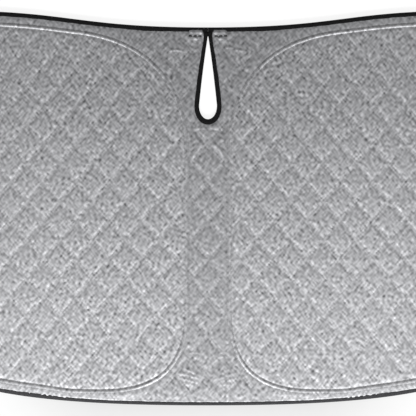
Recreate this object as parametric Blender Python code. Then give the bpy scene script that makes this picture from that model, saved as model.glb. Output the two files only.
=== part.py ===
"""Folding sun shade for a windscreen.

A silver quilted panel with a black sewn edge and a mirror slot, held open by two wire hoops.
It lies on its back: X is the width, +Y points to the top edge and +Z is the silver face.
"""

import math

import bmesh
import bpy
import numpy as np
from mathutils import Vector, geometry

# Driving dimensions, in metres.
HALF_WIDTH = 0.800  # at the lower corners
HALF_HEIGHT = 0.4271
DIP_DEPTH = 0.0364  # the top edge's middle lies this far below its two crests
CREST_IN = 0.240  # each crest stands in from the widest place
SHOULDER_IN = 0.055  # and so does the shoulder, where the upper corner meets the side
SHOULDER_DROP = 0.1346
SIDE_RISE = 0.3046  # the side ends this far above the bottom edge
LOWER_IN = 0.145  # where the lower corner meets the bottom edge
LOWER_RISE = 0.0846
DIP_PULL = 0.286  # lengths that the outline keeps its direction for
CREST_PULL = 0.260
SHOULDER_PULL = 0.090
SHOULDER_TURN = 0.095
SIDE_LEAN = 0.018
SIDE_PULL = 0.120
CORNER_PULL = 0.101
CORNER_LEAN = 0.0306
BOTTOM_PULL = 0.155
MIDDLE_PULL = 0.420

SLOT_RADIUS = 0.0205  # round end of the slot for the mirror's stem
SLOT_DEPTH = 0.1770  # from the top edge to the middle of the round end
SLOT_BULGE = 0.0016  # its long sides bow out by this much
MOUTH_DEPTH = 0.0170  # the two sides of the slot are together for this length
MOUTH_GAP = 0.0004

TAPE_LEG = 0.0085  # visible width of the black edge tape
TAPE_WALL = 0.0008
FIT_GAP = 0.0003  # between pieces that touch

HOOP_INSET = 0.0280  # from the top edge to the hoop's seam
HOOP_LOW_INSET = 0.0250  # and from the bottom edge
HOOP_TOP_START = 0.2726  # the hoop leaves the top edge here
HOOP_BOTTOM_START = 0.2380  # and the bottom edge here
HOOP_INNER_X = 0.0455  # its straight run beside the middle strip
HOOP_RUN_LOW = -0.215  # ends of that straight run
HOOP_RUN_HIGH = 0.110
HOOP_LOW_PULL = 0.120  # how far the hoop keeps its direction beside its inner corners
HOOP_LOW_TURN = 0.130
HOOP_HIGH_TURN = 0.125
HOOP_HIGH_PULL = 0.165
WIRE_RADIUS = 0.0009
FERRULE_WALL = 0.0005
FERRULE_LENGTH = 0.025

SLEEVE_HALF = 0.0090  # hat-shaped tape that holds the hoop on the back
SLEEVE_CHANNEL = 0.0046
SLEEVE_WALL = 0.0005

PANEL_EDGE = 0.0016  # thickness of the laminate where it is sewn flat
QUILT_WIDTH = 0.0712  # one diamond of the quilting, corner to corner
QUILT_HEIGHT = 0.0828
QUILT_START = 0.0545  # one corner of the pattern on the middle line
PUFF = 0.0029  # height of a quilted puff
PUFF_SLOPE = 0.0110  # width of the slope beside a quilting line
RIDGE = 0.0026  # the hoop showing through the front
RIDGE_HALF = 0.0042
GATHER_RISE = 0.0586  # the gathers run out from a point this far above the bottom edge
FOLD = 0.0024  # height of a gather

TAB_DROP = 0.0007  # hook and loop closure on the back, below the edge tape at the slot's mouth
TAB_HEIGHT = 0.0100
TAB_REACH = 0.0350
TAB_CLEAR = 0.0042  # between the tabs and the slot's tape where they pass it
TAB_THICK = 0.0012

# Sizes that follow.
TOP_DIP = HALF_HEIGHT - DIP_DEPTH
SLOT_CENTRE = TOP_DIP - SLOT_DEPTH
SLOT_TIP = TOP_DIP - MOUTH_DEPTH
FERRULE_RADIUS = WIRE_RADIUS + FIT_GAP + FERRULE_WALL
WIRE_Z = SLEEVE_WALL + 0.0004 + FERRULE_RADIUS
PANEL_BACK = WIRE_Z + FERRULE_RADIUS + 0.0005
PANEL_FLAT = PANEL_BACK + PANEL_EDGE
TAPE_LOW = PANEL_BACK - FIT_GAP - TAPE_WALL
TAPE_HIGH = PANEL_FLAT + FIT_GAP + TAPE_WALL
CUT_INSET = TAPE_WALL + FIT_GAP
QUILT_PITCH = 1.0 / math.hypot(1.0 / QUILT_WIDTH, 1.0 / QUILT_HEIGHT)


def clear_scene():
    """Starts from an empty scene."""
    for old in list(bpy.data.objects):
        bpy.data.objects.remove(old, do_unlink=True)


def make_material(name, color, roughness, metallic=0.0):
    """Principled material with one colour."""
    material = bpy.data.materials.new(name)
    material.use_nodes = True
    shader = material.node_tree.nodes["Principled BSDF"]
    shader.inputs["Base Color"].default_value = (*color, 1.0)
    shader.inputs["Roughness"].default_value = roughness
    shader.inputs["Metallic"].default_value = metallic
    return material


def make_object(name, vertices, faces, material, smooth):
    """Mesh object with its faces turned outwards."""
    mesh = bpy.data.meshes.new(name)
    mesh.from_pydata([tuple(v) for v in vertices], [], [tuple(f) for f in faces])
    body = bmesh.new()
    body.from_mesh(mesh)
    bmesh.ops.recalc_face_normals(body, faces=body.faces)
    bmesh.ops.triangulate(body, faces=body.faces)
    for face in body.faces:
        face.smooth = smooth
    body.to_mesh(mesh)
    body.free()
    mesh.materials.append(material)
    thing = bpy.data.objects.new(name, mesh)
    bpy.context.scene.collection.objects.link(thing)
    return thing


def bezier(start, pull_a, pull_b, end, steps):
    """Points of one curve, without its last point."""
    t = (np.arange(steps) / steps)[:, None]
    corners = [np.array(p, float) for p in (start, pull_a, pull_b, end)]
    weights = ((1 - t) ** 3, 3 * t * (1 - t) ** 2, 3 * t * t * (1 - t), t**3)
    return sum(w * c for w, c in zip(weights, corners))


def half_outline():
    """Right half of the outer edge, from the middle of the top to the middle of the bottom."""
    dip = np.array([0.0, TOP_DIP])
    crest = np.array([HALF_WIDTH - CREST_IN, HALF_HEIGHT])
    shoulder = np.array([HALF_WIDTH - SHOULDER_IN, HALF_HEIGHT - SHOULDER_DROP])
    side = np.array([HALF_WIDTH, SIDE_RISE - HALF_HEIGHT])
    corner = np.array([HALF_WIDTH - LOWER_IN, LOWER_RISE - HALF_HEIGHT])
    middle = np.array([0.0, -HALF_HEIGHT])
    along = np.array([1.0, 0.0])
    up = np.array([0.0, 1.0])
    down_side = np.array([SIDE_LEAN, -SHOULDER_TURN])
    off_corner = np.array([-1.0, -CORNER_LEAN / CORNER_PULL])
    parts = [
        bezier(dip, dip + along * DIP_PULL, crest - along * CREST_PULL, crest, 17),
        bezier(crest, crest + along * SHOULDER_PULL, shoulder - down_side, shoulder, 9),
        bezier(shoulder, shoulder + down_side, side + up * SIDE_PULL, side, 7),
        bezier(side, side - up * CORNER_PULL, corner - off_corner * CORNER_PULL, corner, 9),
        bezier(corner, corner + off_corner * BOTTOM_PULL, middle + along * MIDDLE_PULL, middle, 18),
        [middle],
    ]
    return np.vstack(parts)


def full_outline():
    """Whole outer edge, clockwise, from the right side of the mouth to its left side."""
    right = half_outline()
    right[0, 0] = MOUTH_GAP / 2
    left = right[-2::-1] * (-1, 1)
    return np.vstack([right, left])


def slot_outline():
    """Edge of the mirror slot, from the left side of the mouth round to the right side."""
    half_gap = MOUTH_GAP / 2
    reach = math.hypot(SLOT_TIP - SLOT_CENTRE, half_gap)
    tilt = math.asin(SLOT_RADIUS / reach) - math.atan2(half_gap, SLOT_TIP - SLOT_CENTRE)
    angles = np.linspace(tilt, -math.pi - tilt, 17)
    arc = np.stack(
        [SLOT_RADIUS * np.cos(angles), SLOT_CENTRE + SLOT_RADIUS * np.sin(angles)], axis=1
    )
    tangent = arc[0]
    tip = np.array([half_gap, SLOT_TIP])
    outwards = np.array([math.cos(tilt), math.sin(tilt)])
    side = [
        tip + (tangent - tip) * s + outwards * SLOT_BULGE * math.sin(math.pi * s)
        for s in np.arange(8) / 8
    ]
    top = np.array([half_gap, TOP_DIP])
    right = np.vstack([[top], side, arc[: len(arc) // 2 + 1]])
    left = right[:-1] * (-1, 1)
    return np.vstack([left, right[::-1]])


def normals(path, closed):
    """Mitred normals to the right of the direction of travel."""
    if closed:
        before = np.roll(path, 1, axis=0)
        after = np.roll(path, -1, axis=0)
    else:
        before = np.vstack([2 * path[:1] - path[1:2], path[:-1]])
        after = np.vstack([path[1:], 2 * path[-1:] - path[-2:-1]])
    into = path - before
    out = after - path
    into /= np.linalg.norm(into, axis=1)[:, None]
    out /= np.linalg.norm(out, axis=1)[:, None]
    middle = into + out
    middle /= np.linalg.norm(middle, axis=1)[:, None]
    stretch = 1.0 / np.maximum((middle * out).sum(axis=1), 0.5)
    return np.stack([middle[:, 1], -middle[:, 0]], axis=1) * stretch[:, None]


def inset(path, distance, closed=False):
    """Path moved to its right by a distance."""
    return path + normals(path, closed) * distance


def hoop_path():
    """Middle line of the right hoop, clockwise."""
    outline = half_outline()
    share = ramp(-HALF_HEIGHT / 2, HALF_HEIGHT / 2, outline[:, 1])
    room = HOOP_LOW_INSET + (HOOP_INSET - HOOP_LOW_INSET) * share
    edge = outline + normals(outline, False) * room[:, None]
    start = np.where(edge[:, 1] < 0, HOOP_BOTTOM_START, HOOP_TOP_START)
    outer = edge[edge[:, 0] > start]
    first, last = outer[0], outer[-1]
    lean_first = outer[1] - first
    lean_first /= np.linalg.norm(lean_first)
    lean_last = last - outer[-2]
    lean_last /= np.linalg.norm(lean_last)
    up = np.array([0.0, 1.0])
    low = np.array([HOOP_INNER_X, HOOP_RUN_LOW])
    high = np.array([HOOP_INNER_X, HOOP_RUN_HIGH])
    run = [low + (high - low) * k / 7 for k in range(7)]
    parts = [
        outer[:-1],
        bezier(last, last + lean_last * HOOP_LOW_PULL, low - up * HOOP_LOW_TURN, low, 13),
        run,
        bezier(high, high + up * HOOP_HIGH_TURN, first - lean_first * HOOP_HIGH_PULL, first, 13),
    ]
    return np.vstack(parts)


def mirrored(path):
    """The same path on the other half, still clockwise."""
    return path[::-1] * (-1, 1)


def sweep(path, profile, closed):
    """Vertices and faces of a profile carried along a path; profile points are (inwards, height)."""
    across = normals(path, closed)
    count = len(profile)
    vertices = [
        (*(point + normal * reach), height)
        for point, normal in zip(path, across)
        for reach, height in profile
    ]
    faces = []
    spans = len(path) if closed else len(path) - 1
    for i in range(spans):
        j = (i + 1) % len(path)
        for k in range(count):
            m = (k + 1) % count
            faces.append((i * count + k, i * count + m, j * count + m, j * count + k))
    if not closed:
        faces.append(tuple(range(count)))
        faces.append(tuple(range(len(vertices) - count, len(vertices))))
    return vertices, faces


def tape_profile():
    """Folded tape round an edge: two flat legs and a rounded fold."""
    bulge = 0.0006
    half = (TAPE_HIGH - TAPE_LOW) / 2
    middle = (TAPE_HIGH + TAPE_LOW) / 2
    fold = [
        (bulge - bulge * math.cos(a), middle + half * math.sin(a))
        for a in np.linspace(math.pi / 2, -math.pi / 2, 5)
    ]
    inside = [
        (TAPE_LEG, TAPE_LOW + TAPE_WALL),
        (TAPE_WALL, TAPE_LOW + TAPE_WALL),
        (TAPE_WALL, TAPE_HIGH - TAPE_WALL),
        (TAPE_LEG, TAPE_HIGH - TAPE_WALL),
    ]
    return [(TAPE_LEG, TAPE_HIGH), *fold, (TAPE_LEG, TAPE_LOW), *inside]


def sleeve_profile():
    """Hat-shaped tape, open towards the panel, with a flat underside."""
    top = PANEL_BACK - FIT_GAP
    lean = 0.0008
    outer = [
        (-SLEEVE_HALF, top),
        (-SLEEVE_HALF, top - SLEEVE_WALL),
        (-SLEEVE_CHANNEL - lean, top - SLEEVE_WALL),
        (-SLEEVE_CHANNEL, 0.0),
    ]
    wall = SLEEVE_WALL
    inner = [(SLEEVE_CHANNEL - wall, wall), (SLEEVE_CHANNEL + lean - wall, top)]
    right = [(-reach, height) for reach, height in reversed(outer)]
    return outer + right + inner[::-1] + [(-reach, height) for reach, height in inner]


def ring_profile(radius, sides, height):
    """Round section."""
    turn = 2 * math.pi / sides
    return [
        (radius * math.cos(k * turn), height + radius * math.sin(k * turn)) for k in range(sides)
    ]


def distance_to(points, path, closed=False):
    """Distance of each point to a path."""
    ends = np.roll(path, -1, axis=0) if closed else path[1:]
    starts = path if closed else path[:-1]
    best = np.full(len(points), 9.0)
    for a, b in zip(starts, ends):
        step = b - a
        share = np.clip(((points - a) @ step) / (step @ step), 0.0, 1.0)
        best = np.minimum(best, np.linalg.norm(points - a - share[:, None] * step, axis=1))
    return best


def ramp(low, high, value):
    """Smooth change from 0 to 1 between two values."""
    t = np.clip((value - low) / (high - low), 0.0, 1.0)
    return t * t * (3 - 2 * t)


def inside(points, loop):
    """Whether each point is inside a closed path."""
    result = np.zeros(len(points), bool)
    x, y = points[:, 0], points[:, 1]
    for (ax, ay), (bx, by) in zip(loop, np.roll(loop, -1, axis=0)):
        if ay == by:
            continue
        crosses = (ay > y) != (by > y)
        result ^= crosses & (x < (bx - ax) * (y - ay) / (by - ay) + ax)
    return result


def folds():
    """Gathers of the middle strip: each is a line, a half width and a height."""
    lines = []
    gather = np.array([0.0, GATHER_RISE - HALF_HEIGHT])
    strip = HOOP_INNER_X
    for side in (-1, 1):
        for k in range(6):
            angle = math.radians(-24 + 14 * k + 4 * math.sin(5.1 * k + side))
            ray = strip * np.array([side * math.cos(angle), math.sin(angle)])
            start = gather + 0.45 * ray
            end = gather + (1.35 + 0.2 * math.sin(3.7 * k + 2 * side)) * ray
            bow = strip * np.array([0.0, 0.09 * math.sin(2.3 * k)])
            lines.append((start, (start + end) / 2 + bow, end, 1.7 * FOLD, FOLD))
        for k in range(3):
            level = SLOT_CENTRE - (0.9 + 0.6 * k) * strip
            start = np.array([0.0, level])
            end = np.array([0.76 * side * strip, level - (0.2 + 0.2 * k) * strip])
            bow = np.array([0.0, 0.12 * strip])
            lines.append((start, (start + end) / 2 + bow, end, 2 * FOLD, (0.9 - 0.15 * k) * FOLD))
        for k in range(4):
            level = SLOT_CENTRE + (2.0 - 0.6 * k) * strip
            start = np.array([side * (0.57 + 0.13 * k) * strip, level])
            end = np.array([side * (1.7 - 0.13 * k) * strip, level - 0.1 * strip])
            bow = np.array([0.0, 0.1 * strip * math.cos(2.0 * k + side)])
            lines.append((start, (start + end) / 2 + bow, end, 1.7 * FOLD, 0.75 * FOLD))
    return [(np.vstack([bezier(a, b, b, c, 4), [c]]), half, high) for a, b, c, half, high in lines]


def fold_height(points, line, half, high):
    """Height that one fold adds: a rounded ridge that fades out at its ends."""
    start, end = line[0], line[-1]
    axis = end - start
    share = np.clip(((points - start) @ axis) / (axis @ axis), 0.0, 1.0)
    fade = np.sqrt(np.clip(np.sin(math.pi * (0.06 + 0.88 * share)), 0.0, 1.0))
    return high * fade * np.exp(-((distance_to(points, line) / half) ** 2))


def front_height(points, cut, seams):
    """Height of the silver face above its sewn edge."""
    u = (points[:, 1] - QUILT_START) / QUILT_HEIGHT + points[:, 0] / QUILT_WIDTH
    v = (points[:, 1] - QUILT_START) / QUILT_HEIGHT - points[:, 0] / QUILT_WIDTH
    nearest = np.minimum(abs(u - np.round(u)), abs(v - np.round(v))) * QUILT_PITCH
    slope = np.sin(np.clip(nearest / PUFF_SLOPE, 0.0, 1.0) * math.pi / 2)
    crown = ramp(PUFF_SLOPE, QUILT_PITCH / 2, nearest)
    edge = distance_to(points, cut, True)
    seam = np.minimum(*(distance_to(points, s, True) for s in seams))
    quilted = ramp(0.004, 0.017, seam) * ramp(0.020, 0.036, edge + 0.016 * near_slot(points))
    quilted *= ramp(0.0095, 0.0180, edge)
    height = PUFF * (0.80 * slope + 0.20 * crown) * quilted
    border = ramp(0.0085, 0.0150, edge) * ramp(0.0045, 0.0110, seam)
    height += 0.0012 * border * (1 - quilted)
    height += RIDGE * np.cos(np.clip(seam / RIDGE_HALF, 0.0, 1.0) * math.pi / 2)
    for line, half, high in folds():
        height += fold_height(points, line, half, high) * ramp(0.006, 0.014, seam) * border
    return height


def near_slot(points):
    """1 beside the mirror slot and 0 away from it."""
    beyond = np.maximum(0.0, SLOT_CENTRE - points[:, 1])
    away = np.hypot(points[:, 0], beyond) / HOOP_INNER_X
    return 1 - ramp(1.1, 2.0, away)


def quilt_points(cut, seams):
    """Points and lines of the quilting, cut off where the panel is sewn flat."""

    def at(u, v):
        return np.stack(
            [(u - v) * QUILT_WIDTH / 2, QUILT_START + (u + v) * QUILT_HEIGHT / 2], axis=-1
        )

    def free(points, seam_room, edge_room):
        room = np.minimum(*(distance_to(points, s, True) for s in seams))
        edge = distance_to(points, cut, True)
        return (room > seam_room) & (edge > edge_room) & inside(points, cut)

    span = np.arange(-14, 15)
    u, v = (g.ravel().astype(float) for g in np.meshgrid(span, span))
    near = abs(at(u, v)[:, 0]) < HALF_WIDTH + QUILT_WIDTH
    u, v = u[near], v[near]
    inset_share = PUFF_SLOPE / QUILT_PITCH
    loose = [at(u + 0.5, v + 0.5)]
    for du in (inset_share, 1 - inset_share):
        for dv in (inset_share, 1 - inset_share):
            loose.append(at(u + du, v + dv))
    loose = np.vstack(loose)
    loose = loose[free(loose, 0.0130, 0.0160)]
    steps = np.linspace(0.0, 1.0, 25)
    lines = []
    for du, dv in ((1, 0), (0, 1)):
        for a, b in zip(u, v):
            points = at(a + du * steps, b + dv * steps)
            if abs(points[0, 0]) > HALF_WIDTH or abs(points[0, 1]) > HALF_HEIGHT + QUILT_HEIGHT:
                continue
            ok = free(points, 0.0105, 0.0125)
            starts = np.flatnonzero(ok & ~np.roll(ok, 1) | ok & (np.arange(25) == 0))
            for first in starts:
                last = first
                while last + 1 < 25 and ok[last + 1]:
                    last += 1
                if last - first > 2:
                    lines.append(points[[first, last]])
    return loose, lines


def panel_mesh():
    """Vertices and faces of the quilted panel."""
    outer = inset(full_outline(), CUT_INSET)
    slot = inset(slot_outline(), CUT_INSET)
    outer[0] = (MOUTH_GAP / 2 + CUT_INSET, TOP_DIP - CUT_INSET)
    outer[-1] = outer[0] * (-1, 1)
    cut = np.vstack([outer, slot[1:-1]])
    right = hoop_path()
    seams = (right, mirrored(right))
    points = [tuple(p) for p in cut]
    edges = [(i, (i + 1) % len(cut)) for i in range(len(cut))]

    def add_line(line, closed=False):
        first = len(points)
        points.extend(tuple(p) for p in line)
        edges.extend((first + i, first + i + 1) for i in range(len(line) - 1))
        if closed:
            edges.append((first + len(line) - 1, first))

    for seam in seams:
        for reach in (-0.0095, -RIDGE_HALF, 0.0, RIDGE_HALF, 0.0095):
            add_line(inset(seam, reach, True), True)
    for line, half, _ in folds():
        for reach in (-1.5 * half, 0.0, 1.5 * half):
            add_line(inset(line, reach))
    rim = inset(cut, TAPE_LEG + 0.0010, True)
    add_line(rim[distance_to(rim, cut, True) > TAPE_LEG], True)
    loose, lines = quilt_points(cut, seams)
    points.extend(tuple(p) for p in loose)
    for line in lines:
        add_line(line)

    vertices, _, faces, origin, _, _ = geometry.delaunay_2d_cdt(
        [Vector(p) for p in points], edges, [], 0, 0.00002
    )
    flat = np.array([tuple(v) for v in vertices])
    faces = np.array([tuple(f) for f in faces])
    faces = faces[inside(flat[faces].mean(axis=1), cut)]
    used = np.unique(faces)
    renumber = np.full(len(flat), -1)
    renumber[used] = np.arange(len(used))
    place = {k: n for n, group in enumerate(origin) for k in group if k < len(cut)}
    loop = [int(renumber[place[k]]) for k in range(len(cut))]
    flat = flat[used]
    faces = renumber[faces]
    height = front_height(flat, cut, seams)
    height[loop] = 0.0
    front = [(x, y, PANEL_FLAT + z) for (x, y), z in zip(flat, height)]

    columns = np.linspace(-HALF_WIDTH, HALF_WIDTH, 21)
    rows = np.linspace(-HALF_HEIGHT, HALF_HEIGHT, 11)
    grid = np.stack(np.meshgrid(columns, rows), axis=-1).reshape(-1, 2)
    grid = grid[inside(grid, cut) & (distance_to(grid, cut, True) > HOOP_INSET)]
    back_points = [Vector(p) for p in cut] + [Vector(p) for p in grid]
    back, _, back_faces, _, _, _ = geometry.delaunay_2d_cdt(
        back_points, edges[: len(cut)], [], 0, 0.00002
    )
    back_flat = np.array([tuple(v) for v in back])
    back_faces = np.array([tuple(f) for f in back_faces])
    back_faces = back_faces[inside(back_flat[back_faces].mean(axis=1), cut)]
    shift = len(front)
    vertices = front + [(x, y, PANEL_BACK) for x, y in back_flat]
    turned = [tuple(int(k) + shift for k in face[::-1]) for face in back_faces]
    walls = []
    for k in range(len(cut)):
        m = (k + 1) % len(cut)
        walls.append((loop[k], loop[m], shift + m, shift + k))
    return vertices, [tuple(int(k) for k in f) for f in faces] + turned + walls


def build_panel(material):
    """Quilted laminate: padded silver front and plain back."""
    vertices, faces = panel_mesh()
    return make_object("quilted_panel", vertices, faces, material, True)


def build_tapes(material):
    """Black tape round the outside, and round the mirror slot."""
    vertices, faces = sweep(full_outline(), tape_profile(), False)
    make_object("edge_binding", vertices, faces, material, False)
    slot = slot_outline()
    end = TOP_DIP - TAPE_LEG - FIT_GAP
    slot[0, 1] = end
    slot[-1, 1] = end
    vertices, faces = sweep(slot, tape_profile(), False)
    make_object("slot_binding", vertices, faces, material, False)


def build_hoop(side, path, wire, crimp, cloth):
    """Wire hoop with its crimped joint, and the sewn sleeve round it."""
    vertices, faces = sweep(path, ring_profile(WIRE_RADIUS, 6, WIRE_Z), True)
    make_object(side + "_wire_hoop", vertices, faces, wire, True)
    vertices, faces = sweep(path, sleeve_profile(), True)
    make_object(side + "_hoop_sleeve", vertices, faces, cloth, False)
    x = HOOP_INNER_X if side == "right" else -HOOP_INNER_X
    vertices, faces = ferrule_mesh(x, (HOOP_RUN_LOW + HOOP_RUN_HIGH) / 2)
    make_object(side + "_hoop_ferrule", vertices, faces, crimp, True)


def ferrule_mesh(x, y):
    """Short tube that joins the ends of the wire."""
    sides = 16
    vertices = []
    bore = FERRULE_RADIUS - FERRULE_WALL
    half = FERRULE_LENGTH / 2
    for radius, end in ((FERRULE_RADIUS, -half), (FERRULE_RADIUS, half), (bore, half), (bore, -half)):
        for k in range(sides):
            turn = 2 * math.pi * k / sides
            vertices.append((x + radius * math.cos(turn), y + end, WIRE_Z + radius * math.sin(turn)))
    faces = []
    for ring in range(4):
        after = (ring + 1) % 4
        for k in range(sides):
            m = (k + 1) % sides
            faces.append((ring * sides + k, ring * sides + m, after * sides + m, after * sides + k))
    return vertices, faces


def strip_mesh(profile, low, high):
    """Flat strip: an outline in X and Z, given a height in Y."""
    count = len(profile)
    vertices = [(x, low, z) for x, z in profile] + [(x, high, z) for x, z in profile]
    faces = [tuple(range(count)), tuple(range(count, 2 * count))]
    for k in range(count):
        m = (k + 1) % count
        faces.append((k, m, count + m, count + k))
    return vertices, faces


def build_closure(material):
    """Two tabs that hold the slot's mouth together on the back."""
    near = TAPE_LEG + TAB_CLEAR
    tab_top = TOP_DIP - TAPE_LEG - TAB_DROP
    top = PANEL_BACK - FIT_GAP
    loop_low = top - TAB_THICK
    box = [(near, loop_low), (TAB_REACH, loop_low), (TAB_REACH, top), (near, top)]
    vertices, faces = strip_mesh(box, tab_top - TAB_HEIGHT, tab_top)
    make_object("loop_tab", vertices, faces, material, False)
    under = loop_low - FIT_GAP
    step = near + 0.0016
    hook = [
        (-TAB_REACH, top),
        (-TAB_REACH, loop_low),
        (-step - 0.0005, loop_low),
        (-near - 0.0005, under - TAB_THICK),
        (TAB_REACH, under - TAB_THICK),
        (TAB_REACH, under),
        (-near, under),
        (-step, top),
    ]
    vertices, faces = strip_mesh(hook, tab_top - TAB_HEIGHT, tab_top)
    make_object("hook_tab", vertices, faces, material, False)


def build():
    """Makes every piece of the shade."""
    clear_scene()
    silver = make_material("silver_quilted_laminate", (0.46, 0.46, 0.48), 0.45, 0.3)
    tape = make_material("black_binding_tape", (0.012, 0.012, 0.013), 0.8)
    lining = make_material("black_channel_tape", (0.02, 0.02, 0.022), 0.85)
    steel = make_material("spring_steel_wire", (0.55, 0.55, 0.57), 0.35, 1.0)
    zinc = make_material("zinc_plated_ferrule", (0.62, 0.62, 0.60), 0.4, 1.0)
    hook = make_material("hook_and_loop_tape", (0.03, 0.03, 0.033), 0.9)
    build_panel(silver)
    build_tapes(tape)
    right = hoop_path()
    build_hoop("right", right, steel, zinc, lining)
    build_hoop("left", mirrored(right), steel, zinc, lining)
    build_closure(hook)


build()
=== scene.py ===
"""Looks of the folding sun shade: quilted silver cloth, bound edges, stitches, and a plain studio."""

import math

import bpy
import numpy as np
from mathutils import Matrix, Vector, geometry, noise


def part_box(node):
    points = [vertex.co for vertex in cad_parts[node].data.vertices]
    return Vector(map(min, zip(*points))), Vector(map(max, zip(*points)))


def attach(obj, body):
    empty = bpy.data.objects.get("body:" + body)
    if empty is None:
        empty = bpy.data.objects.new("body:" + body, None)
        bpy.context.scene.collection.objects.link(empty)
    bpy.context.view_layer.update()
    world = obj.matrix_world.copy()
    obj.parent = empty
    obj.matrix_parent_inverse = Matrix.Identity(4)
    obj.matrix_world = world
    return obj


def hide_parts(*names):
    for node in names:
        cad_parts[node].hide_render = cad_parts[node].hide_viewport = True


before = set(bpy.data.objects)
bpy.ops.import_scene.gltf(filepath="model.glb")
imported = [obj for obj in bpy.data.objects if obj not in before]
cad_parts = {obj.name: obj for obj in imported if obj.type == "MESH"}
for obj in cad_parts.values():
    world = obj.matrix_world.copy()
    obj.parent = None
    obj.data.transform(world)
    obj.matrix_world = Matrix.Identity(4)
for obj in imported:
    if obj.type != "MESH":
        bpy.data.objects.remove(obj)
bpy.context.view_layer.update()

# Sizes, in metres: the CAD model's, apart from the slot's sides and round end, a little slimmer here.
HALF_WIDTH = 0.800
HALF_HEIGHT = 0.4271
TOP_DIP = HALF_HEIGHT - 0.0364
SLOT_RADIUS = 0.01925
SLOT_CENTRE = TOP_DIP - 0.1701
SLOT_STRETCH = 1.483
SLOT_TIP = TOP_DIP - 0.0170
SLOT_BULGE = 0.0010
MOUTH_GAP = 0.0004
TAPE_LEG = 0.0085
TAPE_WALL = 0.0008
FIT_GAP = 0.0003
CUT_INSET = TAPE_WALL + FIT_GAP
HOOP_INSET = 0.0280
HOOP_LOW_INSET = 0.0250
HOOP_X = 0.0455
HOOP_LOW = -0.215
HOOP_HIGH = 0.110
QUILT_WIDTH = 0.0712
QUILT_HEIGHT = 0.0828
QUILT_START = 0.0545
QUILT_PITCH = 1.0 / math.hypot(1.0 / QUILT_WIDTH, 1.0 / QUILT_HEIGHT)
TAPE_LOW, TAPE_HIGH = (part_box("edge_binding")[k][2] for k in (0, 1))
PANEL_BACK = TAPE_LOW + TAPE_WALL + FIT_GAP
PANEL_FLAT = TAPE_HIGH - TAPE_WALL - FIT_GAP

# Relief of the cloth.
PUFF = 0.0021
GROOVE_HALF = 0.0024
PUFF_END = 0.0098
RIDGE = 0.0024
RIDGE_HALF = 0.0040
FOLD = 0.0010
CLOSURE_LINE = TOP_DIP - 0.0187
CLOSURE_START = 0.0125
CLOSURE_END = 0.0430

# The hoop's line on the face and on the back: beyond which x it follows the lower and the upper edge.
SEAM_LEAVE = (0.2380, 0.2726)
SLEEVE_LEAVE = (0.2740, 0.2760)
SEAM_REACH = 0.0085

# Steps between the points of each line, and the lines of the cloth's mesh.
CLOTH_STEP = 0.0042
SLOT_STEP = 0.0030
SEAM_STEP = 0.0046
TAPE_STEP = 0.0055
SLOT_TAPE_STEP = 0.0040
SLEEVE_STEP = 0.0060
WELD = 0.00002
SEAM_LINES = (
    -0.0100, -0.0068, -0.0054, -RIDGE_HALF, -0.0028, -0.0014, 0.0,
    0.0014, 0.0028, RIDGE_HALF, 0.0054, 0.0068, 0.0100,
)
CELL_SHARES = (0.0, 0.042, 0.080, 0.118, 0.160, 0.215, 0.340)
BACK_SHARES = (0.0, 0.06, 0.94)

# Finer patches of that mesh, each also mirrored: middle, half width, half height, pitch.
PATCHES = (
    ((0.0290, CLOSURE_LINE - 0.0030), 0.0190, 0.0115, 0.0012),
    ((0.0640, SLOT_CENTRE + 0.1230), 0.0260, 0.0130, 0.0017),
    ((0.0320, SLOT_CENTRE - 0.0760), 0.0320, 0.0460, 0.0021),
    ((0.0400, 0.0700 - HALF_HEIGHT), 0.0400, 0.0560, 0.0021),
)

# Sewing: flat widths of the tapes, pitches of the stitches, and the thread.
SEAM_PITCH = 0.0040
TAPE_PITCH = 0.0038
TAB_PITCH = 0.0028
BAR_PITCH = 0.0100
THREAD_HALF = 0.00022
THREAD_RISE = 0.00012
BAR_HALF = 0.00055
BAR_RISE = 0.0003

# Studio.
FLOOR_HALF = 14.0
FLOOR_DROP = 0.0002
WORLD_STRENGTH = 0.36
LAMP_POWER = 72.0
CAMERA_DISTANCE = 2.8
FRAME_WIDTH = 0.8998
SENSOR_WIDTH = 36.0


# Curves.


def bezier(start, pull_a, pull_b, end, steps):
    t = (np.arange(steps) / steps)[:, None]
    corners = [np.array(p, float) for p in (start, pull_a, pull_b, end)]
    weights = ((1 - t) ** 3, 3 * t * (1 - t) ** 2, 3 * t * t * (1 - t), t**3)
    return sum(w * c for w, c in zip(weights, corners))


def resample(path, step, closed=False):
    """Evenly spaced points along a path."""
    if closed:
        path = np.vstack([path, path[:1]])
    gaps = np.linalg.norm(np.diff(path, axis=0), axis=1)
    along = np.concatenate([[0.0], np.cumsum(gaps)])
    count = max(2, int(round(along[-1] / step)) + 1)
    places = np.linspace(0.0, along[-1], count)
    points = np.stack([np.interp(places, along, path[:, k]) for k in range(path.shape[1])], axis=1)
    return points[:-1] if closed else points


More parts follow.
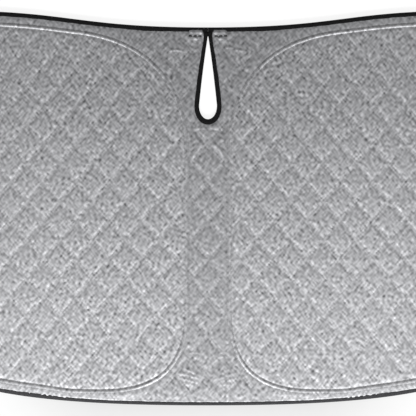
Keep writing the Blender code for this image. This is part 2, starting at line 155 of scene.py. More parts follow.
def half_outline(steps):
    """Right half of the outer edge, from its dip at the top to the middle of the lower edge."""
    dip = np.array([0.0, TOP_DIP])
    crest = np.array([HALF_WIDTH - 0.240, HALF_HEIGHT])
    shoulder = np.array([HALF_WIDTH - 0.055, HALF_HEIGHT - 0.1346])
    side = np.array([HALF_WIDTH, 0.3046 - HALF_HEIGHT])
    corner = np.array([HALF_WIDTH - 0.145, 0.0846 - HALF_HEIGHT])
    middle = np.array([0.0, -HALF_HEIGHT])
    along = np.array([1.0, 0.0])
    up = np.array([0.0, 1.0])
    down_side = np.array([0.018, -0.095])
    off_corner = np.array([-1.0, -0.0306 / 0.101])
    parts = [
        bezier(dip, dip + along * 0.286, crest - along * 0.260, crest, steps),
        bezier(crest, crest + along * 0.090, shoulder - down_side, shoulder, steps),
        bezier(shoulder, shoulder + down_side, side + up * 0.120, side, steps),
        bezier(side, side - up * 0.101, corner - off_corner * 0.101, corner, steps),
        bezier(corner, corner + off_corner * 0.155, middle + along * 0.420, middle, steps),
        [middle],
    ]
    return np.vstack(parts)


def full_outline(step):
    """Outer edge, from the right of the slot's mouth round to the left of it."""
    right = half_outline(120)
    right[0, 0] = MOUTH_GAP / 2
    left = right[-2::-1] * (-1, 1)
    return resample(np.vstack([right, left]), step)


def slot_outline(step):
    """Edge of the mirror slot, from the left of its mouth round to the right of it."""
    half_gap = MOUTH_GAP / 2
    length = (SLOT_TIP - SLOT_CENTRE) / SLOT_STRETCH
    tilt = math.asin(SLOT_RADIUS / math.hypot(length, half_gap)) - math.atan2(half_gap, length)
    angles = np.linspace(tilt, -math.pi / 2, 60)
    rise = SLOT_STRETCH * SLOT_RADIUS * np.sin(angles)
    arc = np.stack([SLOT_RADIUS * np.cos(angles), SLOT_CENTRE + rise], axis=1)
    tip = np.array([half_gap, SLOT_TIP])
    outwards = np.array([math.cos(tilt), math.sin(tilt)])
    side = [
        tip + (arc[0] - tip) * s + outwards * SLOT_BULGE * math.sin(math.pi * s)
        for s in np.arange(30) / 30
    ]
    right = np.vstack([[[half_gap, TOP_DIP]], side, arc])
    left = right[:-1] * (-1, 1)
    return resample(np.vstack([left, right[::-1]]), step)


def normals(path, closed):
    """Directions into the cloth beside its edges, longer at a bend so that a band keeps its width."""
    if closed:
        before, after = np.roll(path, 1, axis=0), np.roll(path, -1, axis=0)
    else:
        before = np.vstack([2 * path[:1] - path[1:2], path[:-1]])
        after = np.vstack([path[1:], 2 * path[-1:] - path[-2:-1]])
    into, out = path - before, after - path
    into /= np.linalg.norm(into, axis=1)[:, None]
    out /= np.linalg.norm(out, axis=1)[:, None]
    middle = into + out
    middle /= np.linalg.norm(middle, axis=1)[:, None]
    stretch = 1.0 / np.maximum((middle * out).sum(axis=1), 0.5)
    return np.stack([middle[:, 1], -middle[:, 0]], axis=1) * stretch[:, None]


def inset(path, distance, closed=False):
    return path + normals(path, closed) * distance


def hoop_path(step, leave, further=0.0, steps=60):
    """Line of the right hoop, which follows the lower and the upper edge beyond the x in leave.

    Its seam on the face reaches further into the inner corners, by the length given.
    """
    outline = half_outline(steps)
    share = ramp(-HALF_HEIGHT / 2, HALF_HEIGHT / 2, outline[:, 1])
    room = HOOP_LOW_INSET + (HOOP_INSET - HOOP_LOW_INSET) * share
    room -= 0.35 * further * np.exp(-(((outline[:, 0] - 0.298) / 0.045) ** 2)) * (1 - share)
    edge = outline + normals(outline, False) * room[:, None]
    start = np.where(edge[:, 1] < 0, *leave)
    outer = edge[edge[:, 0] > start]
    first, last = outer[0], outer[-1]
    lean_first = (outer[1] - first) / np.linalg.norm(outer[1] - first)
    lean_last = (last - outer[-2]) / np.linalg.norm(last - outer[-2])
    up = np.array([0.0, 1.0])
    low, high = np.array([HOOP_X, HOOP_LOW]), np.array([HOOP_X, HOOP_HIGH])
    parts = [
        outer[:-1],
        bezier(last, last + lean_last * (0.120 + further), low - up * (0.130 + further), low, 60),
        [low],
        bezier(high, high + up * (0.125 + further), first - lean_first * (0.165 + further), first, 60),
    ]
    return resample(np.vstack(parts), step, True)


def mirrored(path):
    return path[::-1] * (-1, 1)


def hoop_seams():
    """Seams of the right and the left hoop on the face."""
    right = hoop_path(SEAM_STEP, SEAM_LEAVE, SEAM_REACH)
    return right, mirrored(right)


def distance_to(points, path, closed=False):
    """Distance of each point to a path, right up to 65 mm and 9 where the path is well beyond that."""
    ends = np.roll(path, -1, axis=0) if closed else path[1:]
    starts = path if closed else path[:-1]
    best = np.full(len(points), 9.0)
    for low in range(0, len(starts), 12):
        a, b = starts[low : low + 12], ends[low : low + 12]
        middle = (a.min(axis=0) + b.max(axis=0)) / 2
        reach = np.linalg.norm(np.vstack([a, b]) - middle, axis=1).max() + 0.065
        near = np.flatnonzero(((points - middle) ** 2).sum(axis=1) < reach**2)
        if not len(near):
            continue
        local = points[near]
        found = best[near]
        for p, q in zip(a, b):
            step = q - p
            share = np.clip(((local - p) @ step) / (step @ step), 0.0, 1.0)
            found = np.minimum(found, np.linalg.norm(local - p - share[:, None] * step, axis=1))
        best[near] = found
    return best


def seam_distance(points, seams):
    """Distance of each point to the nearer hoop seam."""
    return np.minimum(*(distance_to(points, seam, True) for seam in seams))


def ramp(low, high, value):
    """Smooth step from 0 at low to 1 at high."""
    t = np.clip((value - low) / (high - low), 0.0, 1.0)
    return t * t * (3 - 2 * t)


def inside(points, loop):
    result = np.zeros(len(points), bool)
    x, y = points[:, 0], points[:, 1]
    for (ax, ay), (bx, by) in zip(loop, np.roll(loop, -1, axis=0)):
        if ay == by:
            continue
        hit = np.flatnonzero((ay > y) != (by > y))
        result[hit] ^= x[hit] < (bx - ax) * (y[hit] - ay) / (by - ay) + ax
    return result


# Mesh helpers.


def add_mesh(name, vertices, faces, materials, smooth=True, slots=None):
    mesh = bpy.data.meshes.new(name)
    mesh.from_pydata(np.asarray(vertices, float).tolist(), [], faces)
    for material in materials:
        mesh.materials.append(material)
    mesh.polygons.foreach_set("use_smooth", np.full(len(mesh.polygons), smooth))
    if slots is not None:
        mesh.polygons.foreach_set("material_index", slots)
    mesh.update()
    thing = bpy.data.objects.new(name, mesh)
    bpy.context.scene.collection.objects.link(thing)
    return thing


def sweep(path, profile, closed, wobble=None):
    """Profile of (inwards, height) points carried along a path."""
    across = normals(path, closed)
    profile = np.asarray(profile, float)
    count, n = len(profile), len(path)
    reach = np.repeat(profile[None, :, 0], n, axis=0)
    height = np.repeat(profile[None, :, 1], n, axis=0)
    if wobble is not None:
        shift = wobble(path, profile)
        reach = reach + shift[0]
        height = height + shift[1]
    flat = path[:, None, :] + across[:, None, :] * reach[:, :, None]
    vertices = np.concatenate([flat, height[:, :, None]], axis=2).reshape(-1, 3)
    faces = []
    for i in range(n if closed else n - 1):
        j = (i + 1) % n
        for k in range(count):
            m = (k + 1) % count
            faces.append((i * count + k, j * count + k, j * count + m, i * count + m))
    if not closed:
        faces.append(tuple(range(count)))
        faces.append(tuple(range(len(vertices) - 1, len(vertices) - count - 1, -1)))
    return vertices, faces


# Relief of the cloth.


def fold_lines():
    """Gathers below the slot, beside its mouth and over the lower edge: line, half width, height."""
    end, foot = SLOT_CENTRE - 0.0286, -HALF_HEIGHT
    # First and last point, bow, half width, and height as a share of FOLD.
    plans = [
        ((0.000, end - 0.0222), (0.052, end - 0.0384), 0.0060, 0.0018, -1.0),
        ((0.004, end - 0.0180), (0.040, end - 0.0225), 0.0030, 0.0026, 0.36),
        ((0.009, end - 0.0471), (0.037, end - 0.0840), 0.0030, 0.0036, 1.5),
        ((0.003, end - 0.0510), (0.011, end - 0.0930), 0.0000, 0.0034, -0.9),
        ((0.026, end - 0.0430), (0.050, end - 0.0620), 0.0050, 0.0030, 1.0),
        ((0.062, end - 0.0470), (0.104, end - 0.0968), 0.0080, 0.0032, -1.1),
        ((0.058, end - 0.0210), (0.097, end - 0.0190), 0.0020, 0.0032, 1.1),
        ((0.054, end + 0.1488), (0.082, end + 0.1473), 0.0020, 0.0028, 1.6),
        ((0.041, end + 0.1553), (0.054, end + 0.1543), 0.0010, 0.0022, 1.0),
        ((0.017, foot + 0.1130), (0.043, foot + 0.1145), 0.0015, 0.0022, 0.6),
        ((0.024, foot + 0.1040), (0.041, foot + 0.1060), 0.0010, 0.0022, 0.5),
        ((0.017, foot + 0.0640), (0.056, foot + 0.0830), 0.0010, 0.0024, 0.65),
        ((0.018, foot + 0.0575), (0.060, foot + 0.0710), 0.0010, 0.0026, 0.75),
        ((0.022, foot + 0.0505), (0.064, foot + 0.0595), 0.0010, 0.0024, 0.60),
        ((0.028, foot + 0.0430), (0.054, foot + 0.0475), 0.0010, 0.0026, 0.45),
        ((0.069, foot + 0.0250), (0.071, foot + 0.0120), 0.0000, 0.0080, 0.9),
    ]
    lines = []
    for side in (-1, 1):
        for k, (first, last, bow, half, high) in enumerate(plans):
            stray = 0.0012 * np.array([math.sin(2.9 * k + side), math.cos(4.3 * k + 2 * side)])
            a = np.array(first) * (side, 1) + stray
            b = np.array(last) * (side, 1) - stray
            middle = (a + b) / 2 + (0.0, bow)
            level = high * FOLD * (1 + 0.2 * math.sin(3.1 * k + 1.7 * side))
            lines.append((np.vstack([bezier(a, middle, middle, b, 8), [b]]), half, level))
    return lines


def fold_height(points, line, half, high):
    start, end = line[0], line[-1]
    axis = end - start
    share = np.clip(((points - start) @ axis) / (axis @ axis), 0.0, 1.0)
    fade = np.sqrt(np.clip(np.sin(math.pi * (0.06 + 0.88 * share)), 0.0, 1.0))
    return high * fade * np.exp(-((distance_to(points, line) / half) ** 2))


def crumple(points, scale, seed):
    """Smooth noise from -1 to 1 over the cloth."""
    return np.array([noise.noise(Vector((x * scale, y * scale, seed))) for x, y in points])


def strip_share(points, seams):
    """1 outside both hoop seams, in the middle strip and along the edges, and 0 within them."""
    return 1.0 - inside(points, seams[0]) - inside(points, seams[1])


def seam_share(points):
    """How far the hoop shows: faint beside the middle strip, clear on its curves and at the edges."""
    out = abs(points[:, 0])
    low = ramp(0.040, 0.058, out)
    high = ramp(0.060, 0.120, out)
    return 0.28 + 0.72 * np.where(points[:, 1] < -0.10, low, high)


def closure_height(points):
    """Cloth drawn in by the closure's stitches, with a bulge on both sides of them."""
    out = abs(points[:, 0])
    along = ramp(CLOSURE_START - 0.002, CLOSURE_START + 0.001, out)
    along *= 1 - ramp(CLOSURE_END - 0.008, CLOSURE_END + 0.004, out)
    drop = CLOSURE_LINE - points[:, 1]
    height = 0.0022 * np.exp(-(((drop + 0.0078) / 0.0024) ** 2))
    height -= 0.0010 * np.exp(-((drop / 0.0018) ** 2))
    spot = np.exp(-(((drop - 0.0052) / 0.0028) ** 2) - ((out - 0.0260) / 0.0065) ** 2)
    return (height + 0.0016 * spot) * along


def quilt_distance(points):
    """Distance of each point to the nearest quilting line."""
    up, out = (points[:, 1] - QUILT_START) / QUILT_HEIGHT, points[:, 0] / QUILT_WIDTH
    return np.minimum(*(abs(line - np.round(line)) for line in (up + out, up - out))) * QUILT_PITCH


def front_height(points, cut, seams, pattern=None):
    """Height of the silver face and share of quilting; pattern is where swayed points came from."""
    up = points[:, 1]

    # Puffs between the quilting lines, which end before the edge, the slot and the seams.
    nearest = quilt_distance(points if pattern is None else pattern)
    slope = ramp(GROOVE_HALF, PUFF_END, nearest)
    crown = ramp(PUFF_END * 0.7, QUILT_PITCH / 2, nearest)
    edge = distance_to(points, cut, True)
    seam = seam_distance(points, seams)
    beyond = np.maximum(0.0, SLOT_CENTRE - up)
    near_slot = 1 - ramp(1.1, 2.0, np.hypot(points[:, 0], beyond) / HOOP_X)
    quilted = ramp(0.0040, 0.0130, seam) * ramp(0.020, 0.036, edge + 0.016 * near_slot)
    quilted *= ramp(0.0095, 0.0180, edge)
    soft = 1 + 0.24 * crumple(points, 30.0, 3.1) + 0.16 * crumple(points, 62.0, 8.4)
    soft *= 0.56 + 0.44 * ramp(-0.36, 0.08, up)
    height = PUFF * (0.76 * slope + 0.24 * crown) * quilted * soft

    # Plain cloth between them and the tape, a little raised.
    strip = strip_share(points, seams)
    low = 1 - ramp(-0.38, -0.25, up)
    border = ramp(0.0085, 0.0150 + 0.0080 * low, edge) * ramp(0.0045, 0.0110, seam)
    raised = 0.0003 + 0.0007 * ramp(-0.35, -0.10, up) - 0.0005 * ramp(0.10, 0.25, up)
    height += raised * border * (1 - quilted)

    # Ridge over the hoop, flat-topped beside the lower edge, with a stitched groove inside it.
    shown = RIDGE * seam_share(points) * (0.82 - 0.10 * ramp(0.0, 0.25, up))
    ridge = np.cos(np.clip(seam / RIDGE_HALF, 0.0, 1.0) * math.pi / 2)
    shelf = (1 - 0.32 * ramp(0.0085, 0.0165, seam)) * (1 - ramp(0.0175, 0.0230, seam))
    shelf *= ramp(0.0035, 0.0068, edge)
    flat_top = strip * low * ramp(0.09, 0.20, abs(points[:, 0]))
    height += shown * (ridge + (np.maximum(shelf, ridge) - ridge) * flat_top * 0.8)
    groove = np.exp(-(((seam - 0.0052) / 0.0016) ** 2)) * (1 - strip)
    height -= (0.0003 + 0.0005 * ramp(-0.30, 0.10, up)) * groove * seam_share(points)

    # Gathers, small unevenness, and the pull of the closure.
    for line, half, high in fold_lines():
        height += fold_height(points, line, half, high) * ramp(0.006, 0.014, seam) * border
    rough = 0.00007 * crumple(points, 70.0, 7.7) + 0.00005 * crumple(points, 130.0, 1.3)
    height += (rough + 0.0004) * ramp(0.0085, 0.0130 + 0.0070 * low, edge)
    height += closure_height(points)
    return np.maximum(height, 0.0), quilted


# The quilted panel.


def lattice(u, v):
    return np.stack([(u - v) * QUILT_WIDTH / 2, QUILT_START + (u + v) * QUILT_HEIGHT / 2], axis=-1)


def lattice_points(shares):
    """Grid that follows the quilting lines."""
    cells = np.arange(-24, 25)
    line = (cells[:, None] + np.asarray(shares)[None, :]).ravel()
    u, v = (g.ravel() for g in np.meshgrid(line, line))
    points = lattice(u, v)
    near = (abs(points[:, 0]) < HALF_WIDTH) & (abs(points[:, 1]) < HALF_HEIGHT)
    return points[near]


def in_patches(points):
    """Whether each point lies in one of the finer patches."""
    out, up = abs(points[:, 0]), points[:, 1]
    hits = [(abs(out - x) < wide) & (abs(up - y) < tall) for (x, y), wide, tall, _ in PATCHES]
    return np.any(hits, axis=0)


def front_points(cut, seams):
    """Points of the silver face, and the edges that its mesh keeps: the cut and the seams' lines."""
    points = [cut]
    edges = [(i, (i + 1) % len(cut)) for i in range(len(cut))]
    total = len(cut)
    for seam in seams:
        for reach in SEAM_LINES:
            line = inset(seam, reach, True)
            edges += [(total + i, total + (i + 1) % len(line)) for i in range(len(line))]
            points.append(line)
            total += len(line)
    for depth, least in ((0.0092, 0.0088), (0.0125, 0.0120)):
        rim = inset(cut, depth, True)
        points.append(rim[distance_to(rim, cut, True) > least])
    for (x, y), wide, tall, pitch in PATCHES:
        across = np.arange(max(pitch / 2, x - wide), x + wide, pitch)
        across = np.concatenate([-across, across])
        level = np.arange(y - tall, y + tall, pitch)
        patch = np.stack([g.ravel() for g in np.meshgrid(across, level)], axis=1)
        patch = patch[inside(patch, cut)]
        clear = (distance_to(patch, cut, True) > 0.0090) & (seam_distance(patch, seams) > 0.0112)
        points.append(patch[clear])
    grid = lattice_points((*CELL_SHARES, 0.5, *(1 - share for share in CELL_SHARES[:0:-1])))
    grid = grid[inside(grid, cut)]
    clear = (distance_to(grid, cut, True) > 0.0150) & (seam_distance(grid, seams) > 0.0118)
    points.append(grid[clear & ~in_patches(grid)])
    return np.vstack(points), edges


def fill(points, edges, cut):
    """Points and triangles of a face inside the cut, and which points the cut's own ones became."""
    found, _, faces, origin, _, _ = geometry.delaunay_2d_cdt(
        [Vector(p) for p in points], edges, [], 0, WELD
    )
    found = np.array([tuple(v) for v in found])
    faces = np.array([tuple(f) for f in faces])
    faces = faces[inside(found[faces].mean(axis=1), cut)]
    place = {k: n for n, group in enumerate(origin) for k in group if k < len(cut)}
    return found, faces, np.array([place[k] for k in range(len(cut))])


def build_panel(silver, lining):
    """Silver face and lining back, joined by a wall along the cut edge inside the tapes."""
    outer = inset(full_outline(CLOTH_STEP), CUT_INSET)
    outer[0] = (MOUTH_GAP / 2 + CUT_INSET, TOP_DIP - CUT_INSET)
    outer[-1] = outer[0] * (-1, 1)
    slot = inset(slot_outline(SLOT_STEP), CUT_INSET)
    slot = slot[slot[:, 1] < TOP_DIP - CUT_INSET - 0.001]
    cut = np.vstack([outer, slot])
    seams = hoop_seams()

    points, edges = front_points(cut, seams)
    flat, faces, loop = fill(points, edges, cut)
    strip = strip_share(flat, seams)
    room = np.minimum(distance_to(flat, cut, True), seam_distance(flat, seams))
    sway = ((0.0006 + 0.0030 * strip) * ramp(0.012, 0.030, room))[:, None]
    moved = flat + sway * np.stack([crumple(flat, 17.0, 5.5), crumple(flat, 17.0, 9.1)], axis=1)
    height, quilted = front_height(moved, cut, seams, flat)
    height[loop] = 0.0
    front = np.column_stack([moved, PANEL_FLAT + height])

    grid = lattice_points(BACK_SHARES)
    grid = grid[inside(grid, cut)]
    grid = grid[distance_to(grid, cut, True) > 0.012]
    back, back_faces, back_loop = fill(np.vstack([cut, grid]), edges[: len(cut)], cut)
    dent = 0.0006 * np.exp(-((quilt_distance(back) / 0.0035) ** 2))
    dent = dent * ramp(0.010, 0.018, seam_distance(back, seams))
    dent = dent * ramp(0.012, 0.02, distance_to(back, cut, True))
    back = np.column_stack([back, PANEL_BACK + dent])

    shift = len(front)
    walls = [
        (int(loop[k]), int(loop[(k + 1) % len(cut)]),
         shift + int(back_loop[(k + 1) % len(cut)]), shift + int(back_loop[k]))
        for k in range(len(cut))
    ]
    vertices = np.vstack([front, back])
    all_faces = faces.tolist() + (back_faces[:, ::-1] + shift).tolist() + walls
    slots = np.concatenate([np.zeros(len(faces), int), np.ones(len(back_faces) + len(walls), int)])
    panel = add_mesh("quilted_cloth", vertices, all_faces, [silver, lining], slots=slots)
    for name, share in (("strip", strip), ("quilted", quilted)):
        layer = panel.data.attributes.new(name, "FLOAT", "POINT")
        layer.data.foreach_set("value", np.concatenate([share, np.zeros(len(back))]))
    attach(panel, "root")
    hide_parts("quilted_panel")


# Tapes.


def tape_profile():
    """Folded tape: soft legs that dip at their stitch line, and a round fold."""
    leg, wall = TAPE_LEG, TAPE_WALL
    middle, half = (TAPE_LOW + TAPE_HIGH) / 2, (TAPE_HIGH - TAPE_LOW) / 2
    top = [
        (leg, TAPE_HIGH - 0.00025), (leg - 0.0004, TAPE_HIGH), (leg - 0.0018, TAPE_HIGH - 0.0002),
        (leg - 0.0032, TAPE_HIGH), (leg - 0.0050, TAPE_HIGH + 0.0001), (0.0016, TAPE_HIGH),
    ]
    bulge = 0.0010
    fold = [
        (bulge - bulge * math.cos(a), middle + half * math.sin(a))
        for a in np.linspace(math.pi / 2, -math.pi / 2, 9)
    ]
    bottom = [(r, TAPE_LOW + TAPE_HIGH - z) for r, z in reversed(top)]
    inner = [
        (leg, TAPE_LOW + wall), (wall + 0.0002, TAPE_LOW + wall),
        (wall + 0.0002, TAPE_HIGH - wall), (leg, TAPE_HIGH - wall),
    ]
    return top + fold + bottom + inner


def leg_extra(path):
    """How much wider than the CAD tape's the legs are at each point of a path."""
    out, up = abs(path[:, 0]), path[:, 1]
    if out.max() < 2 * SLOT_RADIUS:
        return np.interp(
            up,
            (0.192, 0.205, 0.221, 0.277, 0.364, 0.372, 0.378),
            (0.0034, 0.0019, 0.0017, 0.0012, -0.0008, 0.0002, 0.0014),
        )
    low = 0.0020 * (1 - ramp(0.10, 0.35, out)) - 0.0016 * np.exp(-(((out - 0.365) / 0.050) ** 2))
    high = np.exp(-(((out - 0.130) / 0.040) ** 2)) + 0.8 * np.exp(-(((out - 0.024) / 0.016) ** 2))
    high *= 0.0014 * (up > 0)
    return 0.0009 + high - (0.0009 + low) * (1 - ramp(-0.38, -0.20, up))


def tape_wobble(path, profile):
    """Small waves that a sewn tape has along its free edges."""
    gaps = np.linalg.norm(np.diff(path, axis=0, prepend=path[:1]), axis=1)
    along = np.cumsum(gaps)
    reach = np.zeros((len(path), len(profile)))
    height = np.zeros((len(path), len(profile)))
    free = np.clip((profile[:, 0] - 0.0045) / 0.0035, 0.0, 1.0)
    wave = 0.00025 * np.sin(along * 2 * math.pi / 0.037 + 2 * np.sin(along * 9)) + leg_extra(path)
    reach += wave[:, None] * free[None, :]
    outer = (profile[:, 1] > TAPE_HIGH - 0.0003) | (profile[:, 1] < TAPE_LOW + 0.0003)
    bump = 0.00010 * np.sin(along * 2 * math.pi / 0.0125 + 3 * np.sin(along * 23))
    height += bump[:, None] * (outer & (profile[:, 0] > 0.001))[None, :]
    return reach, height


def build_tapes(black):
    """Tapes folded over the outer edge and the slot's edge; gives the lines that they follow."""
    outer = full_outline(TAPE_STEP)
    outer[0, 0], outer[-1, 0] = 0.00003, -0.00003
    slot = slot_outline(SLOT_TAPE_STEP)
    level = TOP_DIP - TAPE_LEG - 0.0008
    slot = slot[slot[:, 1] < level - 0.0010]
    slot = np.vstack([[[-MOUTH_GAP / 2, level]], slot, [[MOUTH_GAP / 2, level]]])
    for name, node, line in (("edge_tape", "edge_binding", outer), ("slot_tape", "slot_binding", slot)):
        vertices, faces = sweep(line, tape_profile(), False, tape_wobble)
        tape = add_mesh(name, vertices, faces, [black])
        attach(tape, "root")
        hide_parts(node)
    return outer, slot


def build_sleeves(cloth):
    """Hat-shaped tapes on the back that hold the hoops."""
    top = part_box("right_hoop_sleeve")[1][2]
    wall, half, channel = 0.0005, 0.0090, 0.0046
    outer = [
        (-half, top), (-half, top - wall), (-half + 0.0012, top - wall - 0.0001),
        (-channel - 0.0012, top - wall), (-channel - 0.0005, top - wall - 0.0008),
        (-channel + 0.0003, 0.0006), (-channel + 0.0012, 0.0001), (-channel + 0.0030, 0.0),
    ]
    inner = [
        (-channel + 0.0032, wall), (-channel + 0.0015, wall + 0.0002),
        (-channel + 0.0008, wall + 0.0006),
        (-channel + 0.0001, top - 0.0004), (-channel - 0.0003, top),
    ]
    profile = outer + [(-r, z) for r, z in reversed(outer)]
    profile += [(-r, z) for r, z in reversed(inner)] + inner
    right = hoop_path(SLEEVE_STEP, SLEEVE_LEAVE, steps=72)
    for side, path in (("right", right), ("left", mirrored(right))):
        vertices, faces = sweep(path, profile, True)
        sleeve = add_mesh(side + "_sleeve_tape", vertices, faces, [cloth])
        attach(sleeve, "root")
        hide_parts(side + "_hoop_sleeve")


def build_tab(name, node, line, thick, mat):
    """Soft strip of tape along a line of (x, height) points, with round corners."""
    low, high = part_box(node)
    middle, half = (low[1] + high[1]) / 2, (high[1] - low[1]) / 2
    line = resample(np.asarray(line, float), 0.0012)
    n, m = len(line), 13
    along = np.linalg.norm(line - line[0], axis=1)
    end = np.minimum(along, along[::-1])
    corner = 0.0022
    round_end = np.sqrt(np.clip(1 - (1 - np.clip(end / corner, 0.0, 1.0)) ** 2, 0.0, 1.0))
    reach = half - corner * (1 - round_end)
    across = np.sin(np.linspace(-math.pi / 2, math.pi / 2, m))
    x = np.repeat(line[:, :1], m, axis=1)
    y = middle + reach[:, None] * across[None, :]
    rim = np.minimum(1.0, 0.35 + np.minimum(half - abs(y - middle), end[:, None]) / 0.0010)
    wave = 0.00010 * np.sin(x * 520 + 1.3) + 0.00008 * np.sin(y * 1500 + x * 260)
    level = np.repeat(line[:, 1:], m, axis=1) + wave
    upper = np.stack([x, y, level + thick / 2 * rim], axis=2).reshape(-1, 3)
    lower = np.stack([x, y, level - thick / 2 * rim], axis=2).reshape(-1, 3)
    faces = []
    for i in range(n - 1):
        for j in range(m - 1):
            a, b = i * m + j, (i + 1) * m + j
            faces.append((a, b, b + 1, a + 1))
            faces.append((n * m + a, n * m + a + 1, n * m + b + 1, n * m + b))
    ring = [i * m for i in range(n)] + [(n - 1) * m + j for j in range(1, m)]
    ring += [i * m + m - 1 for i in range(n - 2, -1, -1)] + list(range(m - 2, 0, -1))
    for a, b in zip(ring, ring[1:] + ring[:1]):
        faces.append((a, n * m + a, n * m + b, b))
    tab = add_mesh(name, np.vstack([upper, lower]), faces, [mat])
    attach(tab, "root")
    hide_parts(node)


def build_closure(mat):
    """Loop tab sewn to the back, and the hook tab that reaches over the slot's mouth to it."""
    low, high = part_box("loop_tab")
    thick = high[2] - low[2]
    level = (low[2] + high[2]) / 2
    build_tab("loop_tape", "loop_tab", [(low[0], level), (high[0], level)], thick, mat)
    far, _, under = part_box("hook_tab")[0]
    deep = under + thick / 2
    line = [(far, level), (-low[0] - 0.0030, level), (-low[0] + 0.0010, deep), (high[0], deep)]
    build_tab("hook_tape", "hook_tab", line, thick, mat)


# Stitches.


def stitch_rows(name, rows, thread, width, rise):
    """Short rounded threads laid along rows, each a path, its heights, a pitch, and 1 up or -1 down."""
    vertices, faces = [], []
    base = 0
    for path, heights, pitch, up in rows:
        gaps = np.linalg.norm(np.diff(path, axis=0), axis=1)
        along = np.concatenate([[0.0], np.cumsum(gaps)])
        count = int(along[-1] / pitch)
        if count < 1:
            continue
        starts = (np.arange(count) + 0.5) * along[-1] / count
        for middle in starts:
            ends = []
            for offset in (-0.36, -0.18, 0.18, 0.36):
                s = middle + offset * pitch
                x, y, z = (np.interp(s, along, column) for column in (path[:, 0], path[:, 1], heights))
                ends.append(np.array([x, y, z + up * rise * (0.15 if abs(offset) > 0.3 else 1.0)]))
            direction = ends[3] - ends[0]
            direction = direction / max(np.linalg.norm(direction), 1e-9)
            side = np.array([-direction[1], direction[0], 0.0]) * width
            for k, end in enumerate(ends):
                thin = 0.55 if k in (0, 3) else 1.0
                vertices.append(end - side * thin)
                vertices.append(end + np.array([0.0, 0.0, up * width * thin]))
                vertices.append(end + side * thin)
            for k in range(3):
                a, b = base + 3 * k, base + 3 * k + 3
                if up > 0:
                    faces += [(a, b, b + 1, a + 1), (a + 1, b + 1, b + 2, a + 2), (a + 2, b + 2, b, a)]
                else:
                    faces += [(a, a + 1, b + 1, b), (a + 1, a + 2, b + 2, b + 1), (a + 2, a, b, b + 2)]
            if up > 0:
                faces += [(base, base + 1, base + 2), (base + 9, base + 11, base + 10)]
            else:
                faces += [(base, base + 2, base + 1), (base + 9, base + 10, base + 11)]
            base += 12
    piece = add_mesh(name, vertices, faces, [thread])
    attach(piece, "root")
    print(name, "triangles", sum(len(f) - 2 for f in faces))


def build_stitches(tape_lines, grey, black):
    """Stitches of the hoop seams, the tapes and the closure."""
    outer = inset(full_outline(CLOTH_STEP), CUT_INSET)
    cut = np.vstack([outer, inset(slot_outline(SLOT_STEP), CUT_INSET)[1:-1]])
    seams = hoop_seams()

    def on_cloth(path):
        return PANEL_FLAT + front_height(path, cut, seams)[0] + 0.00005

    rows = []
    for seam in seams:
        for reach in (-RIDGE_HALF - 0.0004, RIDGE_HALF + 0.0004):
            line = inset(seam, reach, True)
            line = np.vstack([line, line[:1]])
            line = resample(line, 0.0015)
            rows.append((line, on_cloth(line), SEAM_PITCH, 1))
    stitch_rows("hoop_seam_stitches", rows, grey, THREAD_HALF, THREAD_RISE)
    rows = []
    for line in tape_lines:
        track = line + normals(line, False) * (TAPE_LEG - 0.0020 + 0.7 * leg_extra(line))[:, None]
        for height, up in ((TAPE_HIGH - 0.00020, 1), (TAPE_LOW + 0.00020, -1)):
            rows.append((track, np.full(len(track), height), TAPE_PITCH, up))
    stitch_rows("tape_stitches", rows, black, THREAD_HALF, THREAD_RISE)
    rows = []
    for side in (-1, 1):
        x = np.linspace(side * CLOSURE_START, side * CLOSURE_END, 24)
        for level in (CLOSURE_LINE - 0.0008, CLOSURE_LINE, CLOSURE_LINE + 0.0008):
            line = np.stack([x, np.full(24, level)], axis=1)
            rows.append((line, on_cloth(line), BAR_PITCH, 1))
    start, _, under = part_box("loop_tab")[0]
    for node, near in (("loop_tab", start), ("hook_tab", -start)):
        low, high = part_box(node)
        ends = sorted((near + math.copysign(0.0030, near), math.copysign(high[0] - 0.0022, near)))
        x = np.linspace(ends[0], ends[1], 12)
        for level in (low[1] + 0.0018, high[1] - 0.0018):
            line = np.stack([x, np.full(12, level)], axis=1)
            rows.append((line, np.full(12, under), TAB_PITCH, -1))
    stitch_rows("closure_stitches", rows, black, BAR_HALF, BAR_RISE)


# Materials.


